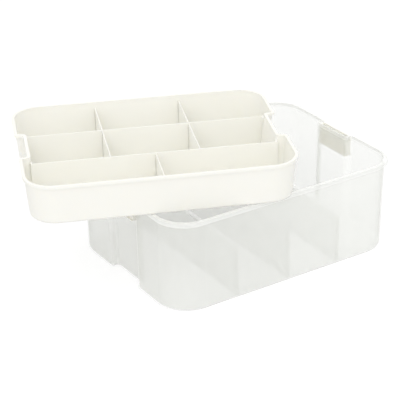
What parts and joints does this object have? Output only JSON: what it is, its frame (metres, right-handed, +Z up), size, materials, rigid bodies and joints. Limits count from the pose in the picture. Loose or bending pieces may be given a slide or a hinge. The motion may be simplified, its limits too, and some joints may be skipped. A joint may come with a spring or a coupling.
{
  "type": "parts organizer",
  "caption": "Clear rounded storage tub with removable cross dividers and end latches, and a white three-row lift-out tray lying turned across its rim.",
  "frame": {"origin": "middle of the tub's underside", "axes": "+X along the tub's long side, towards the uncovered end; +Y to the back long side; +Z up"},
  "size_m": [0.5357, 0.3776, 0.1993],
  "materials": {
    "clear_plastic": "milky translucent, softly glossy",
    "white_plastic": "satin",
    "latch_plastic": "satin"
  },
  "bodies": {
    "tub": {"storage_tub": "clear_plastic"},
    "tray": {"lift_out_tray": "white_plastic"},
    "divider_left": {"tub_divider_left": "clear_plastic"},
    "divider_middle": {"tub_divider_middle": "clear_plastic"},
    "divider_right": {"tub_divider_right": "clear_plastic"},
    "partition_back_left": {"tray_partition_back_left": "white_plastic"},
    "partition_back_right": {"tray_partition_back_right": "white_plastic"},
    "partition_middle_left": {"tray_partition_middle_left": "white_plastic"},
    "partition_middle_right": {"tray_partition_middle_right": "white_plastic"},
    "partition_front": {"tray_partition_front": "white_plastic"},
    "right_latch": {"right_latch": "latch_plastic"},
    "left_latch": {"left_latch": "latch_plastic"}
  },
  "joints": [
    {"name": "tray_lift", "type": "slide", "parent": "tub", "child": "tray", "axis": [0, 0, 1], "range_m": [0, 0.12]},
    {"name": "divider_left_lift", "type": "slide", "parent": "tub", "child": "divider_left", "axis": [0, 0, 1], "range_m": [0, 0.06]},
    {"name": "divider_middle_lift", "type": "slide", "parent": "tub", "child": "divider_middle", "axis": [0, 0, 1], "range_m": [0, 0.06]},
    {"name": "divider_right_lift", "type": "slide", "parent": "tub", "child": "divider_right", "axis": [0, 0, 1], "range_m": [0, 0.06]},
    {"name": "partition_back_left_lift", "type": "slide", "parent": "tray", "child": "partition_back_left", "axis": [0, 0, 1], "range_m": [0, 0.055]},
    {"name": "partition_back_right_lift", "type": "slide", "parent": "tray", "child": "partition_back_right", "axis": [0, 0, 1], "range_m": [0, 0.055]},
    {"name": "partition_middle_left_lift", "type": "slide", "parent": "tray", "child": "partition_middle_left", "axis": [0, 0, 1], "range_m": [0, 0.055]},
    {"name": "partition_middle_right_lift", "type": "slide", "parent": "tray", "child": "partition_middle_right", "axis": [0, 0, 1], "range_m": [0, 0.055]},
    {"name": "partition_front_lift", "type": "slide", "parent": "tray", "child": "partition_front", "axis": [0, 0, 1], "range_m": [0, 0.055]},
    {"name": "right_latch_swing", "type": "hinge", "parent": "tub", "child": "right_latch", "pos_m": [0.1872, 0, 0.1334], "axis": [0, -1, 0], "range_deg": [0, 165]},
    {"name": "left_latch_swing", "type": "hinge", "parent": "tub", "child": "left_latch", "pos_m": [-0.1872, 0, 0.1334], "axis": [0, 1, 0], "range_deg": [0, 80]}
  ]
}
